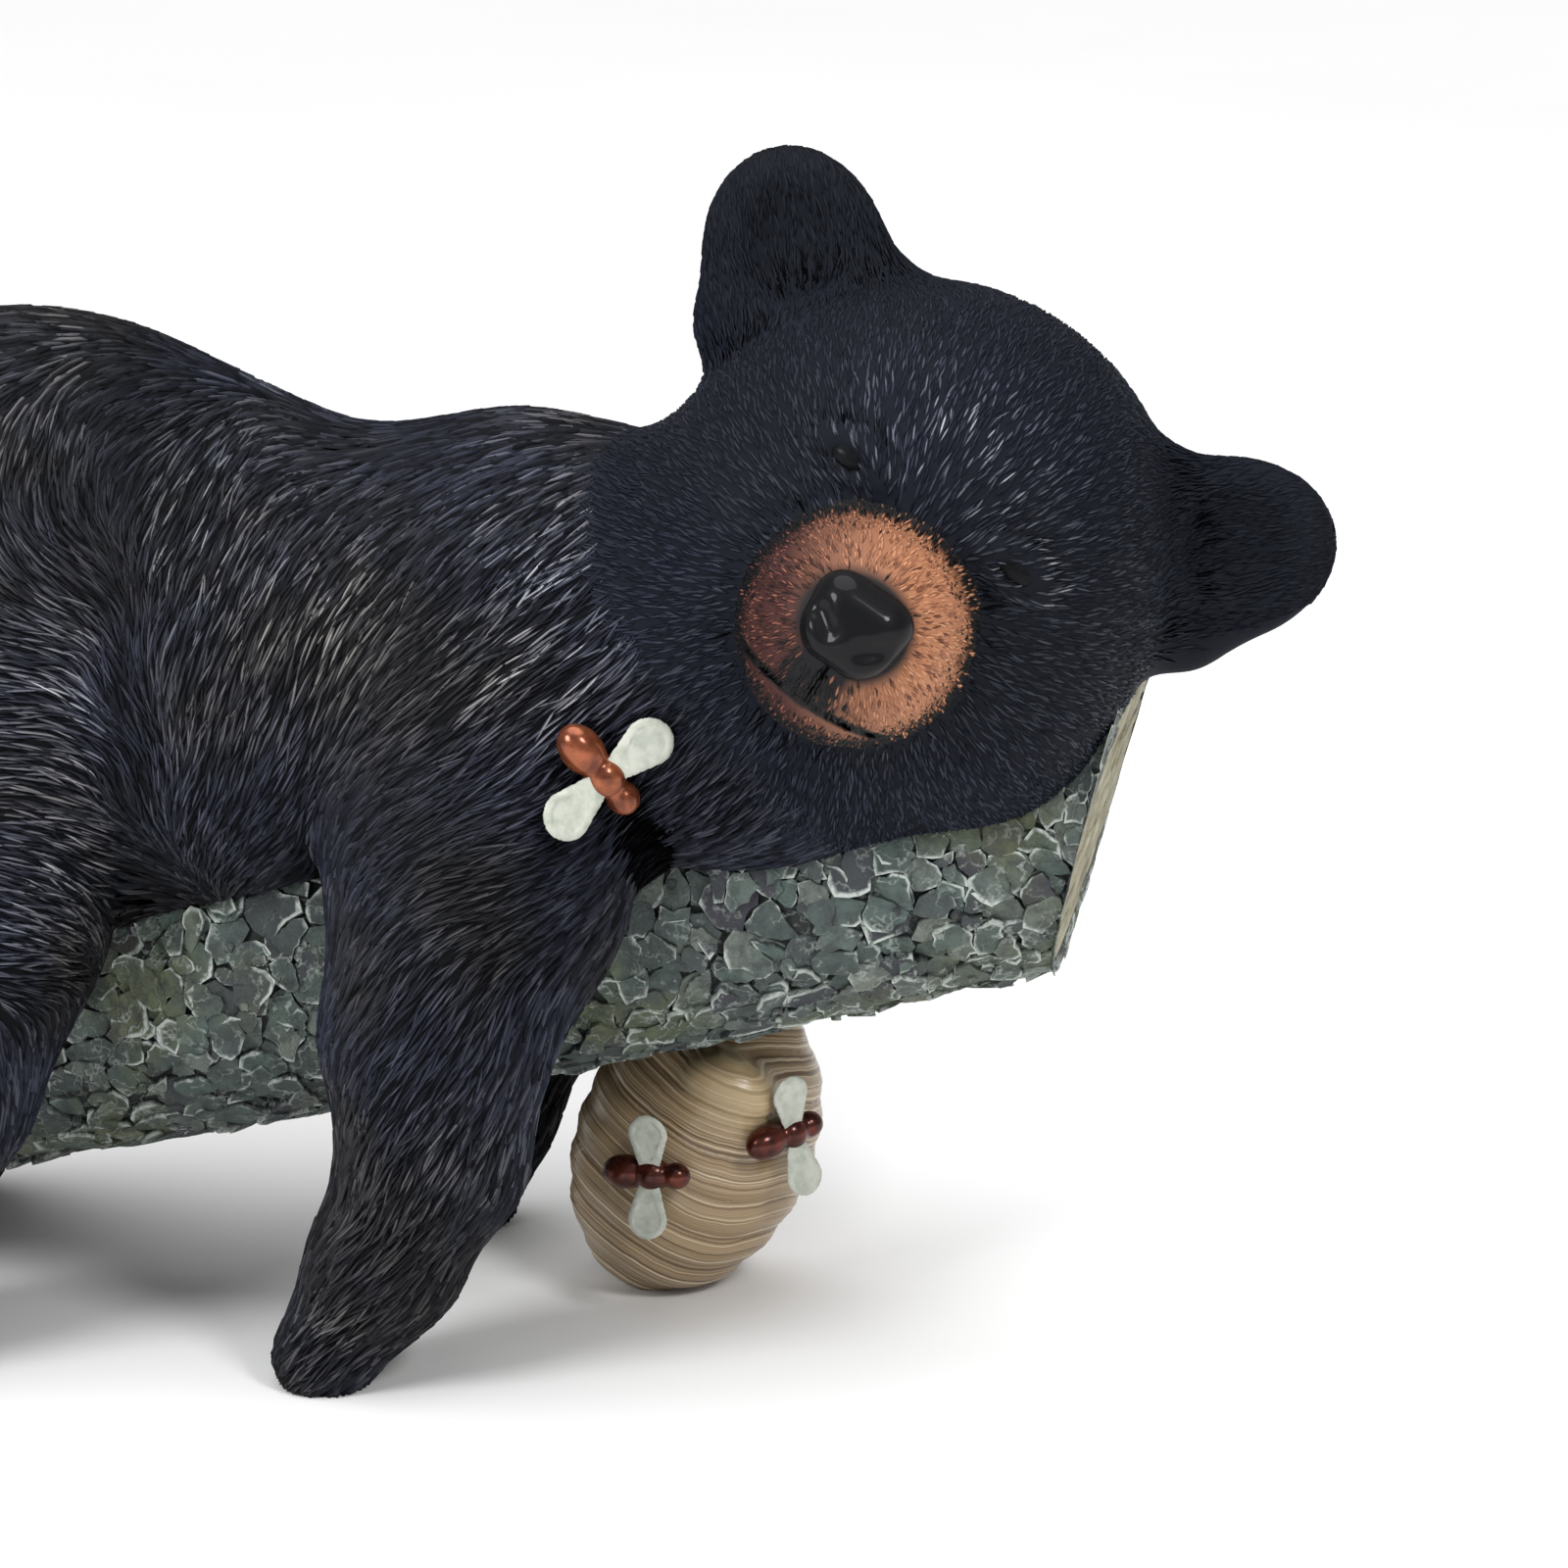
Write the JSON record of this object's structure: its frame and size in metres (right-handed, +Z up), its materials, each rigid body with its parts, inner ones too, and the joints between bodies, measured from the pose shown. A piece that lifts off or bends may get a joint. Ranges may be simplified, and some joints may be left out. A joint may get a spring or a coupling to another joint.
{
  "type": "garden statue",
  "caption": "Resin garden statue of a black bear cub asleep along a leaning bark-covered branch, with a coiled beehive standing under it and small bees resting on it.",
  "frame": {"origin": "on the ground, under the middle of the statue's bounding box", "axes": "+X along the branch towards the cub's head, +Y away from the face, +Z up"},
  "size_m": [0.4207, 0.1671, 0.2433],
  "materials": {
    "casting": "painted polyresin: black carved fur with dry-brushed grey-brown ridges, tan muzzle, grey-green bark",
    "hive": "painted polyresin: straw-coloured coils with brown streaks, satin",
    "bee_copper": "painted polyresin: coppery brown body, off-white wings, gloss",
    "bee_mahogany": "painted polyresin: dark mahogany body, off-white wings, gloss"
  },
  "bodies": {
    "root": {"bear_on_branch": "casting", "beehive": "hive", "bee_shoulder": "bee_copper", "bee_hive_front": "bee_mahogany", "bee_hive_side": "bee_mahogany"}
  },
  "joints": []
}
